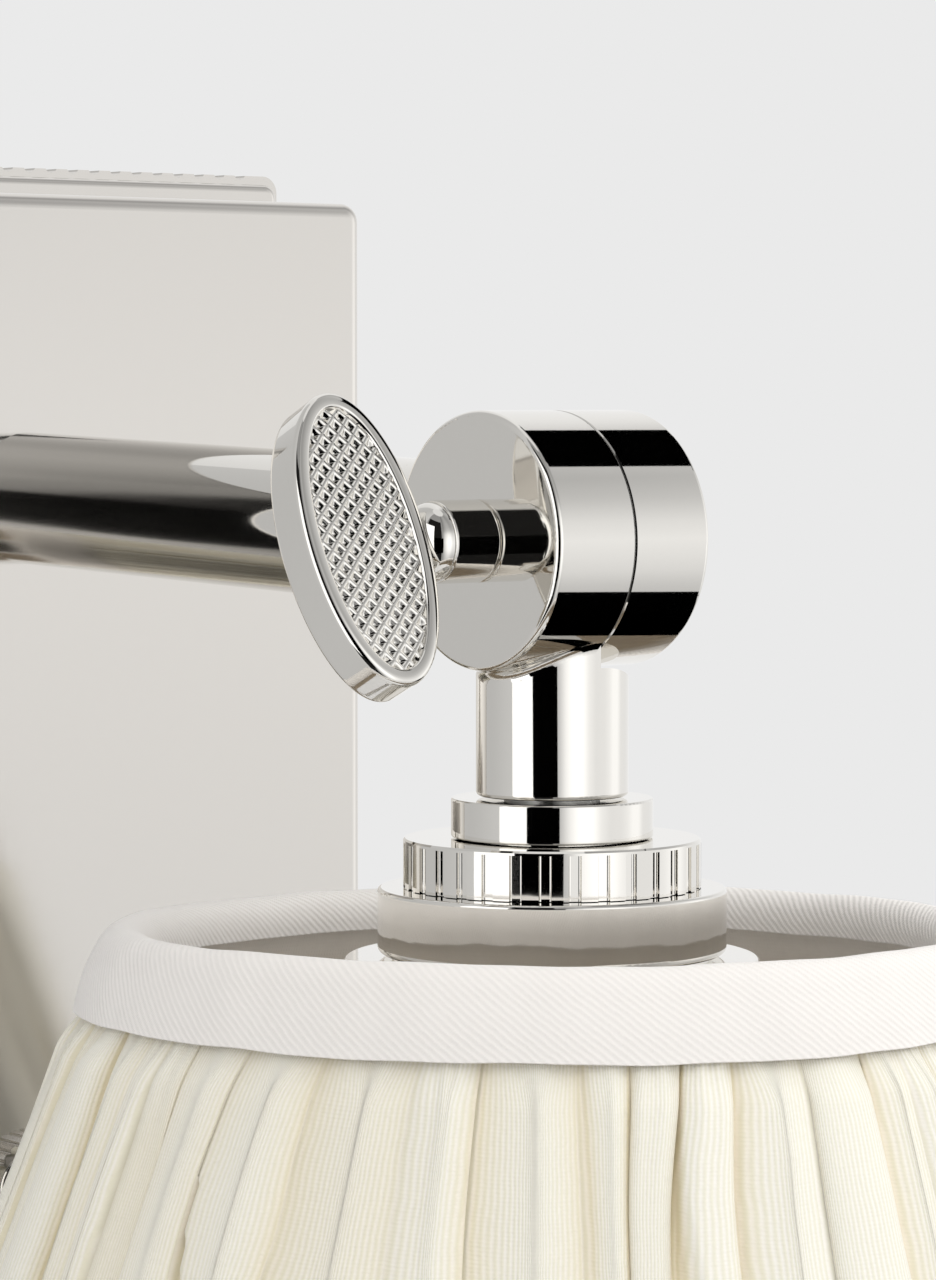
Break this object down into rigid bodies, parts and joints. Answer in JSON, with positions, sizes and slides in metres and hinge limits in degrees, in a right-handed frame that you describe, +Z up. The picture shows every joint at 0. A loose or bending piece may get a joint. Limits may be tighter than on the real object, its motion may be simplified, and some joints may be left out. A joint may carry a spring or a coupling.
{
  "type": "pharmacy wall lamp",
  "caption": "Polished wall lamp with a stepped rectangular plate, straight arm, swivel joint with an oval thumb key, and a gathered conical fabric shade facing down.",
  "frame": {"origin": "centre of the wall plate's back face, in the wall plane", "axes": "+Z up, -Y out of the wall along the arm, +X to the right of someone facing the wall; the thumb key is on the -X side"},
  "size_m": [0.164, 0.21, 0.1712],
  "materials": {
    "polished_nickel": "mirror polished nickel plate on brass",
    "zinc_steel": "zinc-plated steel",
    "brass": "plain brass",
    "aluminium": "bright rolled",
    "black_plastic": "moulded phenolic",
    "white_enamel": "gloss white coated wire",
    "frosted_glass": "frosted white",
    "cream_fabric": "cream ribbed cotton, gathered",
    "white_fabric": "plain white lining",
    "tape_fabric": "off-white twill tape"
  },
  "bodies": {
    "base": {"wall_strap": "zinc_steel", "ground_screw": "brass", "rear_plate": "polished_nickel", "front_box": "polished_nickel", "rear_plate_screws": "zinc_steel", "cover_screws": "polished_nickel", "arm_tube": "polished_nickel", "arm_nipple": "zinc_steel", "stiffening_plate": "zinc_steel", "arm_washer": "zinc_steel", "arm_nut": "brass", "arm_knuckle": "polished_nickel", "stop_pin": "zinc_steel", "friction_washer": "zinc_steel", "switch_body": "black_plastic", "switch_nut": "polished_nickel"},
    "head": {"head_knuckle": "polished_nickel", "neck_collar": "polished_nickel", "socket_cap": "polished_nickel", "gallery_flange": "polished_nickel", "socket_body": "black_plastic", "head_nipple": "zinc_steel", "head_nut": "brass", "screw_shell": "brass", "centre_contact": "brass", "bulb_cap": "aluminium", "bulb_glass": "frosted_glass", "fitter_ring": "white_enamel", "fitter_nut": "black_plastic", "fitter_spokes": "white_enamel", "frame_top_ring": "white_enamel", "frame_end_ring": "white_enamel", "frame_struts": "white_enamel", "shade_cover": "cream_fabric", "shade_lining": "white_fabric", "top_tape": "tape_fabric", "end_tape": "tape_fabric"},
    "key": {"thumb_key": "polished_nickel", "clamp_screw": "zinc_steel"},
    "ring": {"reeded_ring": "polished_nickel"},
    "knob": {"switch_shaft": "zinc_steel", "switch_knob": "polished_nickel"}
  },
  "joints": [
    {"name": "head_tilt", "type": "hinge", "parent": "base", "child": "head", "pos_m": [0, -0.128, 0.0395], "axis": [1, 0, 0], "range_deg": [-90, 4]},
    {"name": "key_turn", "type": "hinge", "parent": "base", "child": "key", "pos_m": [0, -0.128, 0.0395], "axis": [-1, 0, 0], "range_deg": [0, 180]},
    {"name": "ring_turn", "type": "hinge", "parent": "head", "child": "ring", "pos_m": [0, -0.128, 0.0058], "axis": [0, 0, 1], "continuous": true},
    {"name": "switch_turn", "type": "hinge", "parent": "base", "child": "knob", "pos_m": [0, -0.036, -0.0428], "axis": [0, -1, 0], "range_deg": [0, 90]}
  ]
}
